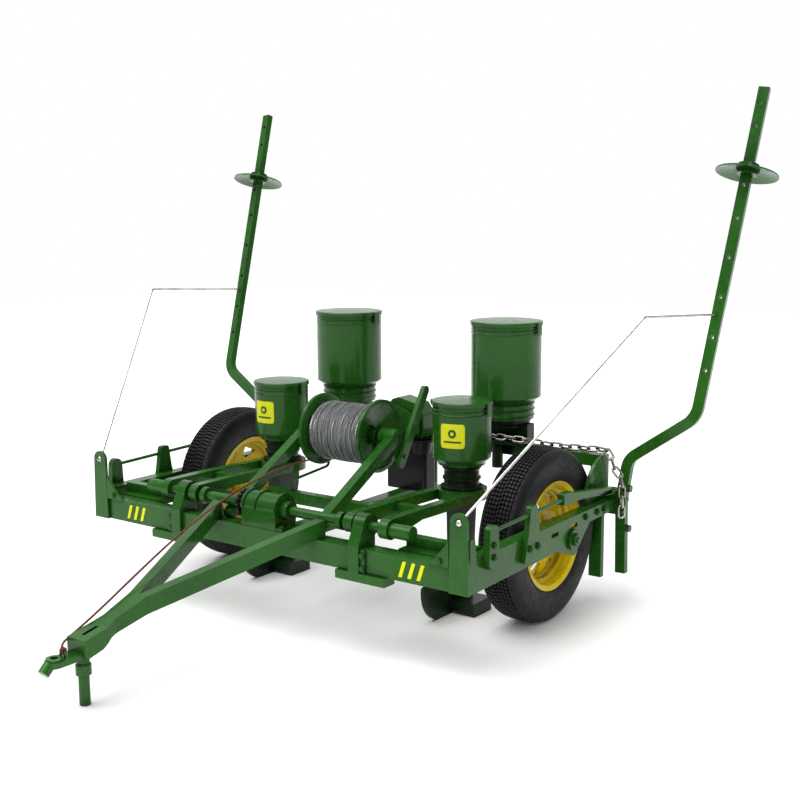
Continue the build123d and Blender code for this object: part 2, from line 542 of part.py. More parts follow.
def make_unit_clamp():
    """Casting clamped on the front bar, with a bearing for the rock shaft and a foot."""
    low = BAR_BOTTOM - 33.0
    edge = [(-CLAMP_WALL, low), (BAR_DEPTH + CLAMP_WALL, low), (BAR_DEPTH + CLAMP_WALL, SHAFT_Z),
            (SHAFT_Y - 46.0, SHAFT_Z), (-CLAMP_WALL, BAR_TOP + 12.0)]
    face = outline(edge) + Pos(SHAFT_Y, SHAFT_Z) * Circle(46.0)
    face -= Pos(SHAFT_Y, SHAFT_Z) * Circle(SHAFT_RADIUS + RUN)
    face -= Pos(BAR_DEPTH / 2, BAR_BOTTOM + BAR_HEIGHT / 2) * Rectangle(BAR_DEPTH, BAR_HEIGHT)
    shape = side_plate(face, CLAMP_X)
    foot = [(ROW_X - 108.0, -CLAMP_WALL), (ROW_X + 118.0, -CLAMP_WALL), (ROW_X + 118.0, BAR_DEPTH - 22.0),
            (ROW_X + 88.0, BAR_DEPTH + CLAMP_WALL), (ROW_X - 108.0, BAR_DEPTH + CLAMP_WALL)]
    shape += flat_plate(outline(foot), (low, BAR_BOTTOM))
    rib = block((CLAMP_X[1], CLAMP_X[1] + 22.0), (-CLAMP_WALL + 8.0, 0), (low, BAR_TOP))
    return shape + rib


# ---------------------------------------------------------------- row units


def make_unit_frame():
    """Two arms hinged on the rock shaft, and the round seat at their rear end."""
    axis = (SHAFT_Y, SHAFT_Z)
    arm_z = FLANGE_Z[1] - 21.0
    face = eye((SHAFT_Y, SHAFT_Z + 2.0), 38.0, (SHAFT_Y + 190.0, arm_z + 11.0), 20.0)
    face += eye((SHAFT_Y + 190.0, arm_z + 11.0), 20.0, (SEED_Y - 60.0, arm_z), 20.0)
    face -= Pos(*axis) * Circle(SHAFT_RADIUS + RUN)
    shape = side_plate(face, ARM_INNER) + side_plate(face, ARM_OUTER)
    seat = bar((ROW_X, SEED_Y, FLANGE_Z[0] - 22.0), (ROW_X, SEED_Y, FLANGE_Z[1]), 104.0)
    shape += seat
    shape += block((ARM_INNER[1], ARM_OUTER[0]), (300.0, 334.0), (arm_z - 12.0, arm_z + 20.0))
    return shape - bar((ROW_X, SEED_Y, FLANGE_Z[0] - 30.0), (ROW_X, SEED_Y, FLANGE_Z[1] + 1.0), SEED_TUBE)


def make_runner():
    """Seed boot with its knife-edged runner and the wide gauge shoe."""
    top = FLANGE_Z[0] - 22.0
    boot = [(SEED_Y - 62.0, top), (SEED_Y + 62.0, top), (SEED_Y + 52.0, top - 120.0), (SEED_Y + 34.0, 58.0),
            (SEED_Y - 50.0, 58.0), (SEED_Y - 58.0, top - 120.0)]
    shape = side_plate(outline(boot, 10.0), (ROW_X - 34.0, ROW_X + 34.0))
    hole_top, hole_low = (ROW_X, SEED_Y, top + 1.0), (ROW_X, SEED_Y, 66.0)
    shape -= bar(hole_low, hole_top, SEED_TUBE - 6.0)
    shoe = [(SEED_Y - 93.0, 14.0), (SEED_Y - 79.0, 0), (SEED_Y + 43.0, 0), (SEED_Y + 43.0, 58.0), (SEED_Y - 93.0, 58.0)]
    shape += side_plate(outline(shoe), (ROW_X - 113.0, ROW_X + 118.0))
    knife = [(SEED_Y - 93.0, 0), (SEED_Y - 93.0, 200.0), (SEED_Y - 58.0, 300.0), (SEED_Y - 52.0, 56.0),
             (SEED_Y - 60.0, 0)]
    keel = side_plate(outline(knife), (ROW_X - 8.0, ROW_X + 8.0))
    blade_edge = make_face([
        *Polyline((SEED_Y - 92.0, 200.0), (SEED_Y - 92.0, 0), (SEED_Y - 190.0, 0)).edges(),
        *ThreePointArc((SEED_Y - 190.0, 0), (SEED_Y - 262.0, 60.0), (SEED_Y - 280.0, 150.0)).edges(),
        *Polyline((SEED_Y - 280.0, 150.0), (SEED_Y - 262.0, 156.0), (SEED_Y - 92.0, 200.0)).edges()])
    return shape + keel + side_plate(blade_edge, (ROW_X - 8.0, ROW_X + 8.0))


def make_seed_base():
    """Ribbed casting under the seed can, which holds the turning seed plate."""
    low, top = FLANGE_Z[1], SEED_BOTTOM
    side = [(0, low), (86.0, low), (86.0, low + 10.0), (72.0, low + 18.0), (72.0, low + 34.0), (78.0, low + 38.0),
            (78.0, low + 46.0), (72.0, low + 50.0), (72.0, top - 24.0), (80.0, top - 14.0), (80.0, top), (0, top)]
    shape = turned_z(side, (ROW_X, SEED_Y, 0))
    seat_z = top - PLATE_THICK - GAP
    shape -= bar((ROW_X, SEED_Y, seat_z), (ROW_X, SEED_Y, top + 1.0), PLATE_RADIUS + RUN)
    shape -= bar((ROW_X, SEED_Y, seat_z - 40.0), (ROW_X, SEED_Y, top), PLATE_PIN + RUN)
    drop = (ROW_X, SEED_Y + PLATE_RADIUS - 12.0)
    return shape - bar((*drop, low - 1.0), (*drop, top), 8.0)


def make_seed_plate():
    """Seed plate with its ring of cells and its drive pin."""
    low = SEED_BOTTOM - PLATE_THICK - GAP
    shape = bar((ROW_X, SEED_Y, low), (ROW_X, SEED_Y, low + PLATE_THICK), PLATE_RADIUS)
    shape += bar((ROW_X, SEED_Y, low - 36.0), (ROW_X, SEED_Y, low), PLATE_PIN)
    shape += bar((ROW_X, SEED_Y, low + PLATE_THICK), (ROW_X, SEED_Y, low + PLATE_THICK + 10.0), 22.0)
    cells = 16
    for cell in range(cells):
        turn = radians(360.0 / cells * (cell + 0.5))
        at_x, at_y = ROW_X + 56.0 * cos(turn), SEED_Y + 56.0 * sin(turn)
        shape -= bar((at_x, at_y, low - 1.0), (at_x, at_y, low + PLATE_THICK + 1.0), 6.0)
    return shape


# ---------------------------------------------------------------- cans and lids


def bead(radius, height, size):
    """Three points of a rolled bead on a can's outside."""
    return [(radius, height - size), (radius + size, height), (radius, height + size)]


def make_can(x, y, radius, foot, bottom, shoulder, top, hole):
    """Sheet-metal can: ringed foot, cone, straight body with two beads, and hinge ears."""
    wall = CAN_WALL
    rise = shoulder - bottom
    outside = [(hole, bottom), (foot, bottom)]
    if rise > 60.0:
        for ring in (0.16, 0.44, 0.70):
            outside += bead(foot, bottom + rise * ring, 5.0)
    outside += [(foot, shoulder - 22.0), (radius, shoulder)]
    outside += bead(radius, top - 38.0, 2.5) + bead(radius, top - 22.0, 2.5) + [(radius, top)]
    inside = [(radius - wall, top), (radius - wall, shoulder + 1.0), (foot - wall, shoulder - 21.0),
              (foot - wall, bottom + wall), (hole, bottom + wall)]
    shape = turned_z(outside + inside, (x, y, 0))
    axis_x, axis_z = x - radius - LID_OVER - HINGE_OUT, top - 2.0
    ear = outline([(x - radius + 2.0, axis_z - 34.0), (x - radius + 2.0, axis_z - 8.0), (axis_x + 5.0, axis_z - 8.0),
                   (axis_x + 5.0, axis_z + 6.0), (axis_x - 7.0, axis_z + 6.0), (axis_x - 7.0, axis_z - 8.0)])
    for ear_y in ((y - 22.0, y - 14.0), (y + 14.0, y + 22.0)):
        shape += front_plate(ear, ear_y)
    return shape + bar((axis_x, y - 25.0, axis_z), (axis_x, y + 25.0, axis_z), HINGE_PIN)


def make_lid(x, y, radius, top):
    """Pressed lid with a rolled rim, hinge knuckle and overhanging latch."""
    rim = radius + LID_OVER
    side = [(0, top + LID_THICK + 3.0), (rim - 16.0, top + LID_THICK), (rim - 3.0, top + LID_THICK - 1.0),
            (rim, top + LID_THICK - 4.0), (rim, top - 6.0), (radius + 3.2, top - 6.0), (radius + 3.2, top),
            (0, top)]
    shape = turned_z(side, (x, y, 0))
    axis_x, axis_z = x - rim - HINGE_OUT, top - 2.0
    shape += bar((axis_x, y - 13.0, axis_z), (axis_x, y + 13.0, axis_z), HINGE_PIN + 4.0)
    shape += block((axis_x, x - rim + 1.5), (y - 13.0, y + 13.0), (axis_z + 1.0, axis_z + 7.5))
    shape -= bar((axis_x, y - 14.0, axis_z), (axis_x, y + 14.0, axis_z), HINGE_PIN + RUN)
    latch = outline([(x + rim - 8.0, top + LID_THICK - 3.0), (x + rim + 9.0, top + LID_THICK - 3.0),
                     (x + rim + 9.0, top - 44.0), (x + rim + 4.0, top - 44.0), (x + rim + 4.0, top + 2.0),
                     (x + rim - 8.0, top + 2.0)])
    return shape + front_plate(latch, (y - 15.0, y + 15.0))


def make_fert_base():
    """Casting that seats a fertiliser can on the rear bar."""
    side = [(0, REAR_TOP), (64.0, REAR_TOP), (64.0, REAR_TOP + 20.0), (92.0, FERT_BOTTOM - 34.0),
            (92.0, FERT_BOTTOM - 26.0), (108.0, FERT_BOTTOM - 16.0), (108.0, FERT_BOTTOM), (0, FERT_BOTTOM)]
    shape = turned_z(side, (FERT_X, FERT_Y, 0))
    shape -= bar((FERT_X, FERT_Y, REAR_TOP + 40.0), (FERT_X, FERT_Y, FERT_BOTTOM + 1.0), 70.0)
    saddle = block((FERT_X - 46.0, FERT_X + 46.0), (REAR_Y - 10.0, REAR_Y), (REAR_BOTTOM + 8.0, REAR_TOP + 20.0))
    shelf = block((FERT_X - 46.0, FERT_X + 130.0), (REAR_Y - 86.0, REAR_Y), (REAR_TOP + 10.0, REAR_TOP + 25.0))
    gear_box = block((FERT_X + 60.0, FERT_X + 128.0), (REAR_Y - 8.0, REAR_END), (REAR_TOP, REAR_TOP + 92.0))
    spout = bar((FERT_X, REAR_Y - 40.0, 520.0), (FERT_X, REAR_Y - 40.0, REAR_TOP + 34.0), 24.0)
    return shape + saddle + shelf + gear_box + spout


# ---------------------------------------------------------------- wheels
def make_wheel():
    """Dished disc wheel with a drop-centre rim, hand holes, hub and wheel bolts."""
    half, edge = RIM_HALF, RIM_RADIUS
    rim = [(-half, edge), (-half + 8.0, edge), (-half + 12.0, edge - 15.0), (-32.0, edge - 21.0), (-24.0, edge - 33.0),
           (24.0, edge - 33.0), (32.0, edge - 21.0), (half - 12.0, edge - 15.0), (half - 8.0, edge), (half, edge),
           (half, edge - 6.0), (half - 6.0, edge - 21.0), (36.0, edge - 27.0), (28.0, edge - 40.0),
           (-28.0, edge - 40.0), (-36.0, edge - 27.0), (-half + 6.0, edge - 21.0), (-half, edge - 6.0)]
    centre = (TRACK_HALF, AXLE_Y, AXLE_Z)
    shape = turned_x(rim, centre)
    disc = [(-12.0, edge - 38.0), (14.0, edge - 38.0), (6.0, edge - 51.0), (26.0, 118.0), (34.0, 96.0), (34.0, 50.0),
            (26.0, 50.0), (26.0, 92.0), (18.0, 114.0), (-4.0, edge - 51.0)]
    plate = turned_x(disc, centre)
    cuts = []
    for hole in range(HAND_HOLES):
        turn = 2 * pi * (hole + 0.5) / HAND_HOLES
        opening = []
        for radius, spread in ((edge - 103.0, -0.15), (edge - 103.0, 0.15), (edge - 55.0, 0.23), (edge - 55.0, -0.23)):
            opening.append((AXLE_Y + radius * cos(turn + spread), AXLE_Z + radius * sin(turn + spread)))
        cuts.append(side_plate(outline(opening), (TRACK_HALF - 60.0, TRACK_HALF + 60.0)))
    plate -= cuts
    hub = [(-half - 2.0, 0), (-half - 2.0, 40.0), (-40.0, 52.0), (30.0, 52.0), (40.0, 60.0), (46.0, 56.0),
           (46.0, 44.0), (half + 2.0, 38.0), (half + 2.0, 0)]
    shape += plate + turned_x(hub, centre)
    ends = (TRACK_HALF - half - 6.0, TRACK_HALF + half + 6.0)
    shape -= bar((ends[0], AXLE_Y, AXLE_Z), (ends[1], AXLE_Y, AXLE_Z), AXLE_RADIUS + RUN)
    for bolt in range(LUG_BOLTS):
        turn = 2 * pi * (bolt + 0.5) / LUG_BOLTS
        at = (TRACK_HALF + 34.0, AXLE_Y + 78.0 * cos(turn), AXLE_Z + 78.0 * sin(turn))
        shape += hex_bolt(at, (1, 0, 0), 20.0, 9.0)
    return shape


def make_tyre():
    """Hollow ribbed tyre that sits on the rim's two bead seats."""
    half, top, bead = TYRE_WIDTH / 2, TYRE_RADIUS, RIM_RADIUS
    wall = top - bead
    outside = [(-RIM_HALF + 12.8, bead - 14.8), (-RIM_HALF + 8.6, bead + 0.6), (-RIM_HALF + 2.0, bead + 3.0),
               (-half + 6.0, bead + 0.21 * wall), (-half, bead + 0.47 * wall), (-half + 2.0, bead + 0.71 * wall),
               (-half + 14.0, bead + 0.88 * wall), (-half + 26.0, top - 7.0), (-half + 38.0, top - 3.0)]
    grooves = []
    for groove in (-24.0, 0.0, 24.0):
        grooves += [(groove - 4.0, top - 0.5), (groove - 3.0, top - 9.0), (groove + 3.0, top - 9.0),
                    (groove + 4.0, top - 0.5)]
    mirrored = [(-along_x, radius) for along_x, radius in reversed(outside)]
    toe = RIM_HALF - 26.0
    inside = [(toe, bead - 17.4), (toe + 6.0, bead + 3.0), (half - 16.0, bead + 0.25 * wall),
              (half - 14.0, bead + 0.59 * wall), (half - 34.0, top - CROWN)]
    inside += [(-along_x, radius) for along_x, radius in reversed(inside)]
    return turned_x(outside + grooves + mirrored + inside, (TRACK_HALF, AXLE_Y, AXLE_Z))


# ---------------------------------------------------------------- markers
def pole_direction():
    return (Vector(*MARKER_TIP) - Vector(*MARKER_BEND)).normalized()


def across_pole():
    """Level direction across the pole, towards the machine's left."""
    return Vector(1, 0, -pole_direction().X / pole_direction().Z).normalized()


def make_marker_arm():
    """Bent arm with its pivot boss, drilled pole and the hub of the marker disc."""
    path = FilletPolyline(MARKER_FOOT, MARKER_REAR, MARKER_KNEE, MARKER_BEND, MARKER_TIP, radius=[400.0, 90.0, 90.0])
    section = Plane(origin=MARKER_FOOT, x_dir=(1, 0, 0), z_dir=path % 0) * Rectangle(MARKER_BAR, MARKER_THICK)
    shape = sweep(section, path=path)
    drill = across_pole().cross(pole_direction())
    for share in HOLE_PLACES:
        at = along(MARKER_BEND, MARKER_TIP, share)
        shape -= bar(at - drill * 40.0, at + drill * 40.0, 8.0)
    hub = Vector(*along(MARKER_BEND, MARKER_TIP, DISC_PLACE))
    direction = pole_direction()
    shape += bar(hub - direction * HUB_HALF, hub + direction * HUB_HALF, HUB_RADIUS)
    for side in (-1, 1):
        inner, outer = hub + direction * (side * HUB_HALF), hub + direction * (side * (HUB_HALF + 7.0))
        shape += bar(inner, outer, HUB_RADIUS + 9.0)
    face_y = MARKER_REAR[1] - MARKER_BOSS + GAP
    shape += bar(on_marker_axis(face_y), on_marker_axis(MARKER_REAR[1]), 30.0)
    clear = marker_axis() * 60.0
    shape -= bar(on_marker_axis(MARKER_REAR[1]) - clear, on_marker_axis(MARKER_REAR[1]) + clear, PIN_RADIUS + RUN)
    meet = along(MARKER_BEND, MARKER_TIP, ROD_PLACE)
    shape -= bar(ROD_BEND, meet, ROD_RADIUS + GAP)
    for lug_z in (MARKER_REAR[2] + 52.0, MARKER_REAR[2] - 118.0):
        lug_x = MARKER_REAR[0] + MARKER_BAR / 2
        shape += bar((lug_x - 4.0, MARKER_REAR[1], lug_z), (lug_x + 20.0, MARKER_REAR[1], lug_z), 15.0)
    return shape


def make_marker_disc():
    """Dished disc that turns on the pole's hub."""
    centre = along(MARKER_BEND, MARKER_TIP, DISC_PLACE)
    hole, thick, sag = HUB_RADIUS + RUN, 5.0, 16.0
    boss = HUB_HALF - GAP
    profile = [(hole, -boss), (hole + 14.0, -boss), (hole + 14.0, -thick), (80.0, -thick - sag * 0.35),
               (DISC_RADIUS, -thick - sag), (DISC_RADIUS, -sag), (80.0, -sag * 0.35), (hole + 14.0, 2.0),
               (hole + 14.0, boss), (hole, boss)]
    disc = revolve(Plane.XZ * outline(profile), Axis.Z)
    return Plane(origin=centre, z_dir=pole_direction()).location * disc


def make_brace_rod():
    """Bent wire brace: its ball sits in the corner bracket, its eye on the pole."""
    meet = along(MARKER_BEND, MARKER_TIP, ROD_PLACE)
    path = FilletPolyline(MARKER_FRONT, ROD_BEND, meet, radius=[24.0])
    shape = sweep(Plane(origin=MARKER_FRONT, z_dir=path % 0) * Circle(ROD_RADIUS), path=path)
    shape += Pos(MARKER_FRONT) * Sphere(BALL_HOLE - 1.0)
    return shape


# ---------------------------------------------------------------- rear drive, chain and rope


def make_chain_case():
    """Black case of the drive chain, standing on the centre rail."""
    shape = block(CASE_X, CASE_Y, (RAIL_TOP, CASE_TOP))
    shape = fillet(shape.edges().filter_by(Axis.Z), 18.0)
    cup = turned_z([(0, CASE_TOP - 60.0), (40.0, CASE_TOP - 60.0), (49.0, CASE_TOP - 8.0), (49.0, CASE_TOP),
                    (43.0, CASE_TOP), (43.0, CASE_TOP - 16.0), (0, CASE_TOP - 16.0)], (160.0, CASE_Y[0] - 12.0, 0))
    return shape + cup


def make_lift_housing():
    """Sloping cover of the lift drive, with the ears that hold the trip lever."""
    front, rear = CASE_Y
    edge = [(CASE_X[0], CASE_TOP), (CASE_X[1] - 8.0, CASE_TOP), (CASE_X[1] - 8.0, 742.0), (128.0, 790.0),
            (28.0, 812.0), (-4.0, 800.0), (CASE_X[0], 756.0)]
    shape = front_plate(outline(edge, 8.0), (front, rear))
    shape += front_plate(outline([(-20.0, 660.0), (150.0, 660.0), (150.0, 730.0), (20.0, 780.0), (-20.0, 740.0)], 10.0),
                         (front - 14.0, front))
    for ear_x in (TRIP_X - 18.0, TRIP_X + 10.0):
        ear = eye((TRIP_Y, TRIP_Z), 12.0, (front - 10.0, TRIP_Z), 16.0)
        shape += side_plate(ear, (ear_x, ear_x + 8.0))
    return shape + bar((TRIP_X - 20.0, TRIP_Y, TRIP_Z), (TRIP_X + 20.0, TRIP_Y, TRIP_Z), 5.0)


def make_trip_lever():
    face = eye((TRIP_Y, TRIP_Z), 13.0, (TRIP_Y, TRIP_Z + 64.0), 9.0) - Pos(TRIP_Y, TRIP_Z) * Circle(5.0 + RUN)
    return side_plate(face, (TRIP_X - 10.0 + GAP, TRIP_X + 10.0 - GAP))


# where the trip rope runs: from its staple along the right side of the tongue's head,
# over the rock shaft, past the reel, through its ring and up to the trip lever
ROPE_ROUTE = [
    (-2.0, STAPLE_Y, STAPLE_Z + STAPLE_WIRE + ROPE_RADIUS + GAP), (-36.0, -940.0, 223.0), (-56.0, -893.0, 228.0),
    (-51.5, -830.0, 257.0), (-52.0, -745.0, 295.0), (-60.0, -650.0, 335.0), (-80.5, -540.0, 371.0),
    (-100.0, -430.0, 407.0), (-121.0, -320.0, 438.0), (-141.0, -210.0, 466.0), (-160.0, -110.0, 488.0),
    (-177.0, -20.0, 504.0), (-187.0, 60.0, 519.0), (-188.0, 140.0, 536.0), (-188.0, 225.0, 551.0),
    (-187.5, 310.0, 561.0), (-188.0, 395.0, 567.0), (-188.0, 480.0, 568.5), (-187.5, 560.0, 565.0),
    (-187.0, 640.0, 560.0), (-164.0, 705.0, 580.0), (-112.0, 752.0, 625.0), (-50.0, 786.0, 676.0),
    (20.0, 806.0, 724.0),
]


def arc_radii(route):
    """Radius of the arc at each corner: 0.45 of the shorter run over tan(half turn)."""
    radii = []
    for before, corner, after in zip(route, route[1:], route[2:]):
        arriving, leaving = Vector(*corner) - Vector(*before), Vector(*after) - Vector(*corner)
        half_turn = radians(arriving.get_angle(leaving)) / 2
        radii.append(0.45 * min(arriving.length, leaving.length) / tan(half_turn))
    return radii


def make_trip_rope():
    radii = arc_radii(ROPE_ROUTE)
    path = FilletPolyline(*ROPE_ROUTE, radius=radii)
    rope = sweep(Plane(origin=ROPE_ROUTE[0], z_dir=path % 0) * Circle(ROPE_RADIUS), path=path)
    ideal = pi * ROPE_RADIUS ** 2 * path.length
    print("rope radii", [round(radius, 1) for radius in radii], "length", round(path.length, 1))
    print("rope volume / section x length", round(rope.volume / ideal, 5))
    loop = Pos(ROPE_ROUTE[0][0], STAPLE_Y, STAPLE_Z) * Rot(0, 90, 0)
    return rope + loop * Torus(STAPLE_WIRE + GAP + ROPE_RADIUS, ROPE_RADIUS)


# where the chain lies: along the rear bar, over its end, down to the eye and a loose tail
CHAIN_ROUTE = [
    (-4.0, 963.0, 688.0), (110.0, 980.0, 656.0), (250.0, 1008.0, 644.0), (FERT_X - 40.0, 998.0, REAR_TOP + 40.5),
    (FERT_X + 135.0, 998.0, REAR_TOP + 40.5), (FERT_X + 230.0, 1088.0, CHAIN_Z), (HALF - 155.0, 1100.0, CHAIN_Z),
    (HALF - 75.0, 1100.0, CHAIN_Z + 5.0), (HALF - 25.0, 1094.0, CHAIN_Z + 6.0), (HALF + 3.0, 1088.0, 570.0),
    (HALF + 40.0, 1086.0, 530.0), (HALF + 40.0, 1086.0, 372.0),
]


def one_link():
    """Chain link round the origin, long along x and flat in the xy plane."""
    path = SlotOverall(LINK_LENGTH - 2 * LINK_WIRE, LINK_WIDTH - 2 * LINK_WIRE).wire()
    start = path @ 0
    return sweep(Plane(origin=start, z_dir=path % 0) * Circle(LINK_WIRE), path=path)


def chain_points(pitch):
    """Points one pitch apart along the chain's route."""
    line = Polyline(*CHAIN_ROUTE)
    steps = int(line.length / 1.0)
    points = [line @ 0]
    for step in range(1, steps + 1):
        at = line @ (step / steps)
        if (at - points[-1]).length >= pitch:
            points.append(at)
    return points


def make_lift_chain():
    pitch = LINK_LENGTH - 4 * LINK_WIRE - 0.6
    points = chain_points(pitch)
    link = one_link()
    links = []
    for index, (start, end) in enumerate(zip(points, points[1:])):
        lean = 45.0 if index % 2 else -45.0
        side = (end - start).cross(Vector(0, 0, 1))
        if side.length < 1.0:
            side = Vector(0, 1, 0)
        place = Plane(origin=(start + end) / 2, x_dir=end - start, z_dir=side.cross(end - start))
        links.append(place.location * Rot(lean, 0, 0) * link)
    return Compound(children=links)


def make_frame_bolts():
    """Hexagon bolts of the brackets, clamps and plates, all in one node."""
    bolts = []
    for side in (-1, 1):
        bolts.append(hex_bolt((side * (ROW_X + 60.0), -CLAMP_WALL + 44.0, BAR_BOTTOM - 33.0), (0, 0, -1), 26.0, 10.0))
        bolts.append(hex_bolt((side * (CLAMP_X[1] + 12.0), -8.0, BAR_TOP - 22.0), (0, -1, 0), 19.0, 8.0))
        bolts.append(hex_bolt((side * (CLAMP_X[1] + 12.0), -8.0, BAR_BOTTOM + 20.0), (0, -1, 0), 19.0, 8.0))
        for y, z in ((118.0, SIDE_TOP - 8.0), (118.0, SIDE_TOP + 36.0)):
            bolts.append(hex_bolt((side * (HALF + 26.0), y, z), (side, 0, 0), 22.0, 9.0))
        for y, z in ((375.0, SIDE_TOP - 40.0), (430.0, SIDE_TOP - 40.0)):
            bolts.append(hex_bolt((side * (HALF + 2 * STAY_OUT), y, z), (side, 0, 0), 24.0, 10.0))
        for y in (850.0, 950.0, 1010.0):
            bolts.append(hex_bolt((side * HALF, y, SIDE_TOP - 24.0), (side, 0, 0), 24.0, 10.0))
        bolts.append(hex_bolt((side * (BRACKET_X[0] - 38.0), -BRACKET_THICK, BAR_TOP + 18.0), (0, -1, 0), 20.0, 8.0))
        foot_bolt = (CLUTCH_X[1] + FOOT_TAB - 14.0, BAR_DEPTH / 2 + side * 17.0, BAR_TOP + FOOT_THICK)
        bolts.append(hex_bolt(foot_bolt, (0, 0, 1), 18.0, 8.0))
    return Compound(children=bolts)


# ---------------------------------------------------------------- the whole machine
def build():
    """Every node by name, in the layout frame."""
    nodes = {
        "front_bar": make_front_bar(),
        "rear_bar": make_rear_bar(),
        "cross_bar": make_cross_bar(),
        "centre_rail": make_centre_rail(),
        "tongue_nose": make_tongue_nose(),
        "jack_leg": make_jack_leg(),
        "reel_spool": make_reel_spool(),
        "reel_cable": make_reel_cable(),
        "clutch_housing": make_clutch_housing(),
        "clutch_sprocket": make_clutch_sprocket(),
        "rock_shaft": make_rock_shaft(),
        "hand_lever": make_hand_lever(),
        "lift_housing": make_lift_housing(),
        "chain_case": make_chain_case(),
        "trip_lever": make_trip_lever(),
        "trip_rope": make_trip_rope(),
        "lift_chain": make_lift_chain(),
        "frame_bolts": make_frame_bolts(),
    }
    arm = make_reel_arm()
    nodes["reel_arm_left"] = make_lever_arm(arm)
    nodes["reel_arm_right"] = to_right(arm)
    axle, stay, base = make_axle(), make_stay_rod(), make_fert_base()
    nodes["axles"] = Compound(children=[axle, to_right(axle)])
    nodes["stay_rods"] = Compound(children=[stay, to_right(stay)])
    nodes["fert_bases"] = Compound(children=[base, to_right(base)])
    pairs = {
        "front_bracket": make_front_bracket(),
        "side_frame": make_side_frame(),
        "rear_corner": make_rear_corner(),
        "tongue_bar": make_tongue_bar(),
        "unit_clamp": make_unit_clamp(),
        "unit_frame": make_unit_frame(),
        "runner": make_runner(),
        "seed_base": make_seed_base(),
        "seed_plate": make_seed_plate(),
        "wheel": make_wheel(),
        "tyre": make_tyre(),
        "marker_arm": make_marker_arm(),
        "brace_rod": make_brace_rod(),
        "marker_disc": make_marker_disc(),
    }
    for name, shape in pairs.items():
        nodes[name + "_left"] = shape
        nodes[name + "_right"] = to_right(shape)
    for name, x in (("left", ROW_X), ("right", -ROW_X)):
        nodes["seed_can_" + name] = make_can(x, SEED_Y, SEED_RADIUS, 96.0, SEED_BOTTOM, SEED_BOTTOM + 30.0,
                                             SEED_TOP, 72.0)
        nodes["seed_lid_" + name] = make_lid(x, SEED_Y, SEED_RADIUS, SEED_TOP)
    for name, x in (("left", FERT_X), ("right", -FERT_X)):
        nodes["fert_can_" + name] = make_can(x, FERT_Y, FERT_RADIUS, FERT_FOOT, FERT_BOTTOM, FERT_SHOULDER,
                                             FERT_TOP, 72.0)
        nodes["fert_lid_" + name] = make_lid(x, FERT_Y, FERT_RADIUS, FERT_TOP)
    return nodes


NODES = build()
FRONT_END = NODES["tongue_nose"].bounding_box().min.Y
REAR_END_OF_ALL = NODES["marker_arm_left"].bounding_box().max.Y
ORIGIN_Y = (FRONT_END + REAR_END_OF_ALL) / 2

os.makedirs("parts", exist_ok=True)
for name, shape in NODES.items():
    export_step(Pos(0, -ORIGIN_Y, 0) * shape, "parts/" + name + ".step")
print(len(NODES), "nodes, origin moved", round(ORIGIN_Y, 3), "mm along y")
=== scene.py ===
import json
import math

import bmesh
import bpy
from mathutils import Matrix, Vector


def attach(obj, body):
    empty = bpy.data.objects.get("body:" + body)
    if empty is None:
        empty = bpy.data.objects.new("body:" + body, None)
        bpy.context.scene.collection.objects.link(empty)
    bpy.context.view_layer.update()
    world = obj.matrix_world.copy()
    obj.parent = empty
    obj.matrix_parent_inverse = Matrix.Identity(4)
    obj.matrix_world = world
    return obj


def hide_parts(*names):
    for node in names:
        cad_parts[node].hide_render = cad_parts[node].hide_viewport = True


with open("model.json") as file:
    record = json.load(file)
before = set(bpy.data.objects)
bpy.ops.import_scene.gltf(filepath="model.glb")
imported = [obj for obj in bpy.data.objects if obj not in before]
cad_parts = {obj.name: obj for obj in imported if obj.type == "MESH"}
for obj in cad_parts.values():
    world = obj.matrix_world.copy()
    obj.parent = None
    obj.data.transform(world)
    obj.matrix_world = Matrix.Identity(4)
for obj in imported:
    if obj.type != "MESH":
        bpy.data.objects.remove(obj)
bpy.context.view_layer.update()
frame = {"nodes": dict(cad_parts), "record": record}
NODES = frame["nodes"]

# Everything is in metres in the row frame. part.py lays the machine out in millimetres from the
# front bar's front face, whose y in the row frame is minus this.
SHIFT_Y = 0.26784

# Places and sizes that part.py gives to the pieces below, in the layout's millimetres.
WHEEL_X, AXLE_Y, TYRE_RADIUS = 802.0, 740.0, 350.0
REEL_CENTRE = (0.0, 560.0, 700.0)
SEED_CAN = (482.5, 673.0, 119.0)      # x on the left, y, outer radius
BAR_MARK_X = 710.0
HITCH_STAPLE = (-2.0, -967.0, 215.0)


def at(x, y, z):
    """A point given in the layout frame's millimetres."""
    return Vector((x / 1000, y / 1000 - SHIFT_Y, z / 1000))


# ---------------------------------------------------------------- camera
CAMERA_AT = (3146.08, -3411.63, 1667.68)
FOCAL_PIXELS, IMAGE_PIXELS, SENSOR = 1228.68, 800, 36.0

forward = Vector((-0.58054, 0.797917, -0.162182)).normalized()
right = Vector((0.80906, 0.587708, -0.004623))
up = right.cross(forward).normalized()
right = forward.cross(up).normalized()
cam_data = bpy.data.cameras.new("camera")
cam_data.sensor_width = SENSOR
cam_data.lens = FOCAL_PIXELS / IMAGE_PIXELS * SENSOR
cam_data.clip_end = 60.0
camera = bpy.data.objects.new("camera", cam_data)
bpy.context.collection.objects.link(camera)
turn = Matrix((right, up, -forward)).transposed()
camera.matrix_world = Matrix.Translation(at(*CAMERA_AT)) @ turn.to_4x4()
bpy.context.scene.camera = camera


# ---------------------------------------------------------------- making pieces
def new_piece(name, mesh, body, material):
    """An object for a mesh, riding on its body."""
    obj = bpy.data.objects.new(name, mesh)
    bpy.context.collection.objects.link(obj)
    obj.data.materials.append(material)
    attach(obj, body)
    return obj


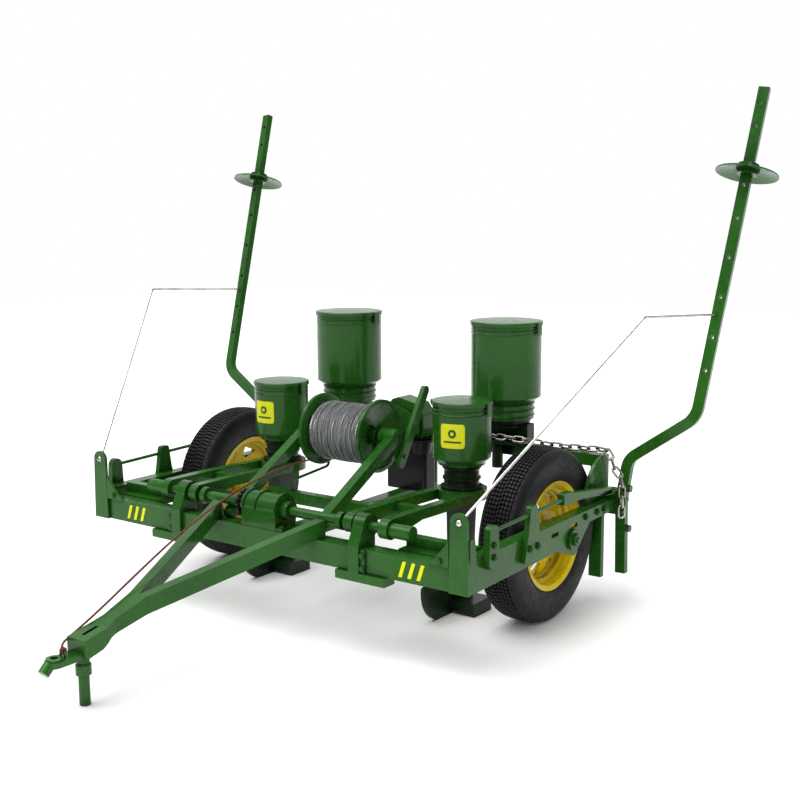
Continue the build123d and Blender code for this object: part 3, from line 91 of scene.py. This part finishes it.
def mesh_from(name, verts, faces, sharp=35.0):
    """Smooth-shaded mesh, sharp where faces meet at more than the given degrees."""
    mesh = bpy.data.meshes.new(name)
    mesh.from_pydata([tuple(v) for v in verts], [], faces)
    mesh.validate()
    for polygon in mesh.polygons:
        polygon.use_smooth = True
    mesh.set_sharp_from_angle(angle=math.radians(sharp))
    mesh.update()
    return mesh


def ring_surface(name, rings, sharp=35.0):
    """Quads between rings of points, back to the first; every ring has the same number of points."""
    count = len(rings[0])
    verts = [point for ring in rings for point in ring]
    faces = []
    for i in range(len(rings)):
        j = (i + 1) % len(rings)
        for k in range(count):
            m = (k + 1) % count
            faces.append((i * count + k, i * count + m, j * count + m, j * count + k))
    return mesh_from(name, verts, faces, sharp)


def tube(name, points, radius, body, material, side):
    """Round wire or cord along a NURBS line; side is how finely its section is rounded."""
    curve = bpy.data.curves.new(name, "CURVE")
    curve.dimensions = "3D"
    curve.bevel_depth = radius
    curve.bevel_resolution = side
    curve.resolution_u = 10
    curve.use_fill_caps = True
    spline = curve.splines.new("NURBS")
    spline.points.add(len(points) - 1)
    for point, place in zip(spline.points, points):
        point.co = (*place, 1.0)
    spline.order_u = 3
    spline.use_endpoint_u = True
    obj = bpy.data.objects.new(name, curve)
    bpy.context.collection.objects.link(obj)
    curve.materials.append(material)
    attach(obj, body)
    return obj


# ---------------------------------------------------------------- materials
def set_span(node, low, high, to_low, to_high):
    """The two ranges of a Map Range node."""
    for name, value in zip(("From Min", "From Max", "To Min", "To Max"), (low, high, to_low, to_high)):
        node.inputs[name].default_value = value


class Nodes:
    """Small helper round one material's node tree."""

    def __init__(self, name):
        self.material = bpy.data.materials.new(name)
        self.material.use_nodes = True
        self.tree = self.material.node_tree
        self.shader = self.tree.nodes["Principled BSDF"]
        self.place = self.tree.nodes.new("ShaderNodeTexCoord").outputs["Object"]

    def add(self, kind, **values):
        node = self.tree.nodes.new(kind)
        for key, value in values.items():
            setattr(node, key, value)
        return node

    def link(self, output, socket):
        self.tree.links.new(output, socket)

    def noise(self, scale, detail=3.0, rough=0.55):
        node = self.add("ShaderNodeTexNoise")
        node.inputs["Scale"].default_value = scale
        node.inputs["Detail"].default_value = detail
        node.inputs["Roughness"].default_value = rough
        self.link(self.place, node.inputs["Vector"])
        return node.outputs["Fac"]

    def ramp(self, source, stops):
        node = self.add("ShaderNodeValToRGB")
        ramp = node.color_ramp
        while len(ramp.elements) < len(stops):
            ramp.elements.new(0.5)
        for element, (place, colour) in zip(ramp.elements, stops):
            element.position = place
            element.color = (*colour, 1.0)
        self.link(source, node.inputs["Fac"])
        return node.outputs["Color"]

    def mix(self, factor, a, b, blend="MIX"):
        node = self.add("ShaderNodeMix", data_type="RGBA", blend_type=blend)
        for socket, value in ((node.inputs[0], factor), (node.inputs[6], a), (node.inputs[7], b)):
            if isinstance(value, (int, float)):
                socket.default_value = value
            elif isinstance(value, tuple):
                socket.default_value = (*value, 1.0)
            else:
                self.link(value, socket)
        return node.outputs[2]

    def spread(self, source, low, high, to_low, to_high):
        node = self.add("ShaderNodeMapRange")
        set_span(node, low, high, to_low, to_high)
        self.link(source, node.inputs["Value"])
        return node.outputs["Result"]

    def bump(self, source, strength, distance, normal=None):
        node = self.add("ShaderNodeBump")
        node.inputs["Strength"].default_value = strength
        node.inputs["Distance"].default_value = distance
        self.link(source, node.inputs["Height"])
        if normal is not None:
            self.link(normal, node.inputs["Normal"])
        return node.outputs["Normal"]

    # Ambient occlusion factor; the materials use it to paint shade into their base colour in crevices
    # and close gaps.
    def crevice_shade(self, distance):
        node = self.add("ShaderNodeAmbientOcclusion", samples=4)
        node.inputs["Distance"].default_value = distance
        return node.outputs["AO"]

    def soft_edges(self, radius):
        node = self.add("ShaderNodeBevel", samples=4)
        node.inputs["Radius"].default_value = radius
        return node.outputs["Normal"]


def enamel(name, light, dark, rough=0.24, coat=0.22, lumps=0.0009, edge=0.003):
    """Brushed or sprayed enamel over castings and plate: uneven film, painted shade in the crevices."""
    n = Nodes(name)
    broad, fine = n.noise(2.6, 4.0), n.noise(38.0, 3.0)
    tone = n.ramp(broad, [(0.30, dark), (0.72, light)])
    faded = tuple(min(1.0, c * 1.5 + 0.01) for c in light)
    worn = n.mix(n.spread(fine, 0.35, 0.75, 0.0, 0.16), tone, faded)
    # Painted shade: ambient occlusion drives the base colour towards a deep tone of the dark colour in
    # crevices and close gaps.
    shade = n.spread(n.crevice_shade(0.045), 0.35, 0.95, 0.0, 1.0)
    n.link(n.mix(shade, tuple(c * 0.34 for c in dark), worn), n.shader.inputs["Base Color"])
    n.link(n.spread(fine, 0.3, 0.7, rough - 0.05, rough + 0.10), n.shader.inputs["Roughness"])
    n.shader.inputs["Coat Weight"].default_value = coat
    n.shader.inputs["Coat Roughness"].default_value = 0.08
    n.shader.inputs["Specular IOR Level"].default_value = 0.14
    bumps = n.bump(n.noise(55.0, 2.0), 0.35, lumps, n.soft_edges(edge))
    n.link(n.bump(n.noise(9.0, 2.0), 0.25, lumps * 3, bumps), n.shader.inputs["Normal"])
    return n.material


def metal(name, light, dark, rough):
    """Plated or bare steel: patchy tone, fine grain, painted shade in the crevices."""
    n = Nodes(name)
    fine = n.noise(160.0, 4.0)
    tone = n.ramp(n.noise(12.0, 3.0), [(0.3, dark), (0.7, light)])
    # Painted shade: ambient occlusion drives the base colour towards a deep tone of the dark colour in
    # crevices and close gaps.
    shade = n.spread(n.crevice_shade(0.02), 0.3, 0.9, 0.0, 1.0)
    n.link(n.mix(shade, tuple(c * 0.3 for c in dark), tone), n.shader.inputs["Base Color"])
    n.shader.inputs["Metallic"].default_value = 1.0
    n.link(n.spread(fine, 0.3, 0.7, rough - 0.08, rough + 0.12), n.shader.inputs["Roughness"])
    n.link(n.bump(fine, 0.3, 0.0002), n.shader.inputs["Normal"])
    return n.material


def rubber(name):
    """Black rubber with a little dust and a fine grain."""
    n = Nodes(name)
    tone = n.ramp(n.noise(7.0, 4.0), [(0.25, (0.004, 0.004, 0.005)), (0.75, (0.010, 0.010, 0.011))])
    dust = n.spread(n.noise(30.0, 4.0), 0.5, 0.8, 0.0, 0.35)
    n.link(n.mix(dust, tone, (0.022, 0.022, 0.022)), n.shader.inputs["Base Color"])
    n.link(n.spread(n.noise(45.0), 0.3, 0.7, 0.42, 0.62), n.shader.inputs["Roughness"])
    n.shader.inputs["Specular IOR Level"].default_value = 0.22
    n.link(n.bump(n.noise(240.0, 3.0), 0.35, 0.0006), n.shader.inputs["Normal"])
    return n.material


def twisted(name, light, dark, scale, metallic=0.0, rough=0.7):
    """Laid rope or stranded wire: fine slanting strands."""
    n = Nodes(name)
    wave = n.add("ShaderNodeTexWave", wave_type="BANDS", bands_direction="DIAGONAL")
    wave.inputs["Scale"].default_value = scale
    wave.inputs["Distortion"].default_value = 2.2
    wave.inputs["Detail"].default_value = 2.0
    n.link(n.place, wave.inputs["Vector"])
    tone = n.ramp(wave.outputs["Fac"], [(0.2, dark), (0.75, light)])
    grime = n.spread(n.noise(120.0), 0.3, 0.7, 0.0, 0.5)
    n.link(n.mix(grime, tone, dark), n.shader.inputs["Base Color"])
    n.shader.inputs["Metallic"].default_value = metallic
    n.shader.inputs["Roughness"].default_value = rough
    n.link(n.bump(wave.outputs["Fac"], 0.6, 0.0012), n.shader.inputs["Normal"])
    return n.material


GREEN = enamel("green_enamel", (0.020, 0.108, 0.010), (0.009, 0.060, 0.005))
DARK_GREEN = enamel("dark_casting", (0.007, 0.026, 0.007), (0.003, 0.010, 0.003),
                    rough=0.36, coat=0.15, lumps=0.0012)
YELLOW = enamel("yellow_enamel", (0.78, 0.57, 0.004), (0.56, 0.37, 0.003), rough=0.28, coat=0.15)
DECAL_YELLOW = enamel("emblem_yellow", (0.70, 0.72, 0.006), (0.60, 0.60, 0.004),
                      rough=0.35, coat=0.12, lumps=0.0001)
RUBBER = rubber("tyre_rubber")
STEEL = metal("bright_steel", (0.66, 0.65, 0.62), (0.34, 0.33, 0.31), rough=0.24)
DULL_STEEL = metal("plated_chain", (0.50, 0.48, 0.42), (0.20, 0.19, 0.16), rough=0.30)
BLACK = enamel("black_casting", (0.009, 0.010, 0.010), (0.003, 0.004, 0.004),
               rough=0.38, coat=0.12, lumps=0.0018)
ROPE = twisted("rope_fibre", (0.26, 0.055, 0.030), (0.07, 0.012, 0.008), 190.0)
WIRE = twisted("stranded_wire", (0.62, 0.64, 0.62), (0.05, 0.05, 0.06), 170.0,
               metallic=0.9, rough=0.30)

BY_SLOT = {
    "green_enamel": GREEN, "dark_green": DARK_GREEN, "yellow_enamel": YELLOW, "tyre": RUBBER,
    "bare_steel": STEEL, "black_steel": BLACK, "cord": ROPE, "wire": WIRE,
}
for part in frame["record"]["subparts"]:
    obj = NODES[part["node"]]
    material = BY_SLOT[part["material_slot"]]
    if obj.material_slots:
        for material_slot in obj.material_slots:
            material_slot.material = material
    else:
        obj.data.materials.append(material)

for material_slot in NODES["lift_chain"].material_slots:
    material_slot.material = DULL_STEEL

# ---------------------------------------------------------------- trip rope
# The route's points as part.py has them.
ROPE_ROUTE = [
    (-2.0, -967.0, 227.3), (-36.0, -940.0, 223.0), (-56.0, -893.0, 228.0),
    (-51.5, -830.0, 257.0), (-52.0, -745.0, 295.0), (-60.0, -650.0, 335.0), (-80.5, -540.0, 371.0),
    (-100.0, -430.0, 407.0), (-121.0, -320.0, 438.0), (-141.0, -210.0, 466.0), (-160.0, -110.0, 488.0),
    (-177.0, -20.0, 504.0), (-187.0, 60.0, 519.0), (-188.0, 140.0, 536.0), (-188.0, 225.0, 551.0),
    (-187.5, 310.0, 561.0), (-188.0, 395.0, 567.0), (-188.0, 480.0, 568.5), (-187.5, 560.0, 565.0),
    (-187.0, 640.0, 560.0), (-164.0, 705.0, 580.0), (-112.0, 752.0, 625.0), (-50.0, 786.0, 676.0),
    (20.0, 806.0, 724.0),
]
rope_points = [at(*point) for point in ROPE_ROUTE]
rope = tube("rope_line", rope_points, 0.004, "chassis", ROPE, 4)
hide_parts("trip_rope")


def rope_ring(name, centre, axis, minor):
    """Turn of the rope round the hitch staple, about an axis."""
    count, side, major = 28, 10, 0.0083
    axis = Vector(axis).normalized()
    u = axis.orthogonal().normalized()
    v = axis.cross(u)
    rings = []
    for i in range(count):
        a = 2 * math.pi * i / count
        out = u * math.cos(a) + v * math.sin(a)
        rings.append([centre + out * (major + minor * math.cos(b)) + axis * (minor * math.sin(b))
                      for b in (2 * math.pi * k / side for k in range(side))])
    new_piece(name, ring_surface(name, rings), "chassis", ROPE)


rope_ring("rope_loop", at(*HITCH_STAPLE), (1, 0.15, 0), 0.004)
rope_ring("rope_wrap", at(*HITCH_STAPLE) + Vector((0.008, 0, 0)), (1, -0.12, 0), 0.0036)


# ---------------------------------------------------------------- tyres
def tyre(side):
    """Ribbed implement tyre with notched shoulders and rows of small blocks."""
    sign = 1 if side == "left" else -1
    centre = at(sign * WHEEL_X, AXLE_Y, TYRE_RADIUS)
    # (across, radius, kind, depth of cut): kind 0 plain, 1 fine blocks, 2 shoulder notches
    outer = [(61.3, 204.3, 0, 0), (65.3, 219.3, 0, 0), (70.0, 221.0, 0, 0), (73.0, 226.0, 0, 0),
             (75.5, 232.0, 0, 0), (77.0, 236.0, 0, 0), (77.4, 239.0, 0, 0), (78.8, 240.5, 0, 0),
             (80.8, 250.0, 0, 0), (82.4, 262.0, 0, 0), (83.4, 272.0, 0, 0), (83.9, 282.0, 0, 0),
             (83.8, 292.0, 0, 0), (83.2, 301.0, 0, 0), (82.6, 303.5, 0, 0),
             (82.9, 305.5, 0, 0), (81.6, 312.0, 0, 0), (80.2, 316.5, 0, 0), (77.0, 324.0, 0, 0),
             (72.5, 332.0, 2, 0.6), (67.0, 338.5, 2, 2.6), (60.0, 343.0, 2, 2.6), (56.0, 344.6, 2, 1.2),
             (54.6, 345.0, 0, 0), (53.8, 337.5, 0, 0), (50.4, 337.5, 0, 0), (49.6, 346.4, 1, 1.0),
             (48.6, 346.8, 1, 6.0), (40.0, 347.9, 1, 6.0), (39.0, 347.8, 1, 1.0), (38.2, 339.5, 0, 0),
             (35.2, 339.5, 0, 0), (34.4, 348.2, 1, 1.0), (33.4, 348.6, 1, 6.0), (25.0, 349.2, 1, 6.0),
             (24.0, 349.1, 1, 1.0), (23.2, 340.5, 0, 0), (20.0, 340.5, 0, 0), (19.2, 349.3, 1, 1.0),
             (18.2, 349.6, 1, 6.0), (10.6, 349.9, 1, 6.0), (9.6, 349.7, 1, 1.0), (8.8, 341.0, 0, 0),
             (5.6, 341.0, 0, 0), (4.8, 349.7, 1, 1.0), (3.8, 349.98, 1, 6.0)]
    mirrored = [(-a, r, kind, depth) for a, r, kind, depth in reversed(outer)]
    inner = [(-50.0, 204.0, 0, 0), (-54.0, 224.0, 0, 0), (-70.0, 252.0, 0, 0), (-70.0, 296.0, 0, 0),
             (-50.0, 326.0, 0, 0), (50.0, 326.0, 0, 0), (70.0, 296.0, 0, 0), (70.0, 252.0, 0, 0),
             (54.0, 224.0, 0, 0), (50.0, 204.0, 0, 0)]
    profile = outer + mirrored + inner
    blocks = 124
    steps = (0.0, 0.10, 0.34, 0.44)     # shares of one block; the cut lies between the middle two
    rings = []
    for block in range(blocks):
        for step, share in enumerate(steps):
            ring = []
            low = step in (1, 2)
            for across, radius, kind, depth in profile:
                shift = 0.5 if across < 0 else 0.0
                cut = 0.0
                if kind == 1 and low:
                    cut = depth
                if kind == 2 and low and block % 2 == 0:
                    cut = depth
                angle = 2 * math.pi * (block + share + (shift if kind else 0.0)) / blocks
                slant = 0.012 * (across / 50.0) if kind == 1 else 0.0
                r = (radius - cut) / 1000
                a = angle + slant
                ring.append(centre + Vector((across / 1000, r * math.cos(a), r * math.sin(a))))
            rings.append(ring)
    mesh = ring_surface("tyre_carcass_" + side, rings, sharp=28.0)
    mesh.flip_normals()
    piece = new_piece("tyre_carcass_" + side, mesh, "wheel_" + side + "_body", RUBBER)
    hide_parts("tyre_" + side)


tyre("left")
tyre("right")


# ---------------------------------------------------------------- wound wire on the reel
REEL = at(*REEL_CENTRE)
WIRE_HALF_WIDTH = 0.128


def wound_wire():
    """Core ring under many crossing turns of stranded wire."""
    half, inner, outer, sides = WIRE_HALF_WIDTH, 0.064, 0.117, 96
    core = []
    for i in range(sides):
        a = 2 * math.pi * i / sides
        ring = []
        for x, r in ((-half + 0.004, inner), (half - 0.004, inner), (half, outer), (-half, outer)):
            ring.append(REEL + Vector((x, r * math.cos(a), r * math.sin(a))))
        core.append(ring)
    mesh = ring_surface("wire_core", core)
    piece = new_piece("wire_core", mesh, "reel", WIRE)
    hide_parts("reel_cable")
    # turns, radius, share of the width
    layers = ((33, 0.1175, 1.0), (7, 0.1212, 0.94), (5, 0.1214, 0.90))
    for layer, (turns, radius, share) in enumerate(layers):
        for strand in (0, 1):
            name = "wire_turns_%d_%d" % (layer, strand)
            strand_of_wire(name, turns, radius, share * (half - 0.006), layer, strand)


def strand_of_wire(name, turns, radius, reach, layer, strand):
    """One of the two strands that are twisted into the wound wire."""
    twist_length, steps_in_twist, strand_gap = 0.026, 5, 0.0023
    steps = int(turns * 2 * math.pi * radius / twist_length * steps_in_twist)
    points = []
    for k in range(steps + 1):
        share = k / steps
        a = 2 * math.pi * turns * share * (-1 if layer == 1 else 1)
        twist = 2 * math.pi * k / steps_in_twist + math.pi * strand
        wander = 0.0016 * math.sin(a * 0.41 + layer) + 0.0012 * math.sin(a * 1.3 + layer * 2)
        x = (2 * share - 1) * reach + wander + strand_gap * math.cos(twist)
        r = radius + 0.0006 * math.sin(a * 2.3) + strand_gap * math.sin(twist)
        points.append(REEL + Vector((x, r * math.cos(a), r * math.sin(a))))
    # Kept as a mesh: a curve with so coarse a section states too large a box.
    line = tube(name + "_line", points, 0.0024, "reel", WIRE, 0)
    line.data.resolution_u = 2
    bpy.context.view_layer.update()
    shown = line.evaluated_get(bpy.context.evaluated_depsgraph_get())
    mesh = bpy.data.meshes.new_from_object(shown)
    bpy.data.objects.remove(line)
    mesh.materials.clear()
    new_piece(name, mesh, "reel", WIRE)


wound_wire()


# ---------------------------------------------------------------- plain marks in place of the decals
def patch_on_can(name, side, z, half_width, half_height, corner, lift, thick, material):
    """Rounded panel bent round a seed can, lift off its wall, with its own small thickness."""
    sign, azimuth = (1, -76.0) if side == "left" else (-1, -90.0)
    x, y, radius = sign * SEED_CAN[0], SEED_CAN[1], SEED_CAN[2] / 1000
    mesh = bpy.data.meshes.new(name)
    bm = bmesh.new()
    columns = 24
    rows = []
    for c in range(columns + 1):
        u = -half_width + 2 * half_width * c / columns
        inset = max(0.0, abs(u) - (half_width - corner))
        top = half_height - corner + math.sqrt(max(0.0, corner ** 2 - inset ** 2))
        rows.append((u, top))
    for face_radius in (radius + lift, radius + lift + thick):
        for u, top in rows:
            a = math.radians(azimuth) + u / face_radius
            for v in (-top, top):
                out = Vector((face_radius * math.cos(a), face_radius * math.sin(a), v))
                bm.verts.new(at(x, y, z) + out)
    bm.verts.ensure_lookup_table()
    n = (columns + 1) * 2
    for c in range(columns):
        a, b, d, e = 2 * c, 2 * c + 1, 2 * c + 3, 2 * c + 2
        bm.faces.new([bm.verts[i] for i in (a, b, d, e)])
        bm.faces.new([bm.verts[n + i] for i in (e, d, b, a)])
        bm.faces.new([bm.verts[i] for i in (b, n + b, n + d, d)])
        bm.faces.new([bm.verts[i] for i in (n + a, a, e, n + e)])
    bm.faces.new([bm.verts[i] for i in (1, 0, n, n + 1)])
    last = 2 * columns
    bm.faces.new([bm.verts[i] for i in (last, last + 1, n + last + 1, n + last)])
    bmesh.ops.recalc_face_normals(bm, faces=bm.faces)
    bm.to_mesh(mesh)
    bm.free()
    new_piece(name, mesh, "row_" + side, material)


for side in ("left", "right"):
    patch_on_can("emblem_panel_" + side, side, 738.0, 0.052, 0.049, 0.012, 0.0002, 0.0012, DECAL_YELLOW)
    patch_on_can("emblem_bar_" + side, side, 715.0, 0.037, 0.0035, 0.0012, 0.0013, 0.0006, GREEN)
    patch_on_can("emblem_dot_" + side, side, 748.0, 0.017, 0.017, 0.0165, 0.0013, 0.0006, GREEN)
    patch_on_can("emblem_eye_" + side, side, 748.0, 0.0075, 0.0075, 0.0072, 0.0018, 0.0006, DECAL_YELLOW)


def slanted_marks(side):
    """Three slanting stripes near the end of the front bar."""
    sign = 1 if side == "left" else -1
    bottom, top, pitch = 334.0, 394.0, 40.0
    for number in range(3):
        x = sign * BAR_MARK_X + (number - 1) * pitch
        verts = []
        for y in (-0.8, -0.1):
            for dx, z in ((-18.0, bottom), (-2.0, bottom), (18.0, top), (2.0, top)):
                verts.append(at(x + dx, y, z))
        faces = [(0, 1, 2, 3), (7, 6, 5, 4), (0, 4, 5, 1), (1, 5, 6, 2), (2, 6, 7, 3), (3, 7, 4, 0)]
        name = "bar_mark_%s_%d" % (side, number)
        new_piece(name, mesh_from(name, verts, faces), "chassis", DECAL_YELLOW)


slanted_marks("left")
slanted_marks("right")

# ---------------------------------------------------------------- floor and light
floor = bpy.data.objects.new("floor", bpy.data.meshes.new("floor"))
size = 14.0
corners = [(-size, -size, 0), (size, -size, 0), (size, size, 0), (-size, size, 0)]
floor.data.from_pydata(corners, [], [(0, 1, 2, 3)])
bpy.context.collection.objects.link(floor)
paper = Nodes("floor_paper")
paper.link(paper.ramp(paper.noise(0.8), [(0.3, (0.93, 0.93, 0.93)), (0.7, (0.96, 0.96, 0.96))]),
           paper.shader.inputs["Base Color"])
paper.shader.inputs["Roughness"].default_value = 0.9
floor.data.materials.append(paper.material)


def studio_world():
    """White wall behind the machine, bright ceiling, dim room on its front side."""
    world = bpy.data.worlds.new("studio")
    bpy.context.scene.world = world
    world.use_nodes = True
    tree = world.node_tree
    background = tree.nodes["Background"]
    direction = tree.nodes.new("ShaderNodeTexCoord").outputs["Generated"]

    def ramp(axis, low, high, to_low, to_high):
        dot = tree.nodes.new("ShaderNodeVectorMath")
        dot.operation = "DOT_PRODUCT"
        dot.inputs[1].default_value = axis
        tree.links.new(direction, dot.inputs[0])
        span = tree.nodes.new("ShaderNodeMapRange")
        set_span(span, low, high, to_low, to_high)
        tree.links.new(dot.outputs["Value"], span.inputs["Value"])
        return span.outputs["Result"]

    wall = ramp((forward.x, forward.y, 0.0), -0.25, 0.75, 0.10, 0.95)
    ceiling = ramp((0.0, 0.0, 1.0), 0.35, 0.95, 0.0, 0.75)
    lighter = tree.nodes.new("ShaderNodeMath")
    lighter.operation = "MAXIMUM"
    tree.links.new(wall, lighter.inputs[0])
    tree.links.new(ceiling, lighter.inputs[1])
    seen = tree.nodes.new("ShaderNodeLightPath").outputs["Is Camera Ray"]
    pick = tree.nodes.new("ShaderNodeMath")
    pick.operation = "MAXIMUM"
    tree.links.new(seen, pick.inputs[0])
    tree.links.new(lighter.outputs["Value"], pick.inputs[1])
    tree.links.new(pick.outputs["Value"], background.inputs["Strength"])
    background.inputs["Color"].default_value = (1.0, 1.0, 1.0, 1.0)


studio_world()
bpy.context.scene.view_settings.view_transform = "Standard"


def sun(name, source, power, spread):
    """Even soft light that comes from the direction of source."""
    data = bpy.data.lights.new(name, "SUN")
    data.energy = power
    data.angle = math.radians(spread)
    obj = bpy.data.objects.new(name, data)
    bpy.context.collection.objects.link(obj)
    obj.rotation_euler = (-Vector(source)).to_track_quat("-Z", "Y").to_euler()


sun("ceiling", (-0.25, -0.35, 1.0), 2.9, 55.0)
sun("front", (0.9, -1.2, 0.8), 0.9, 30.0)
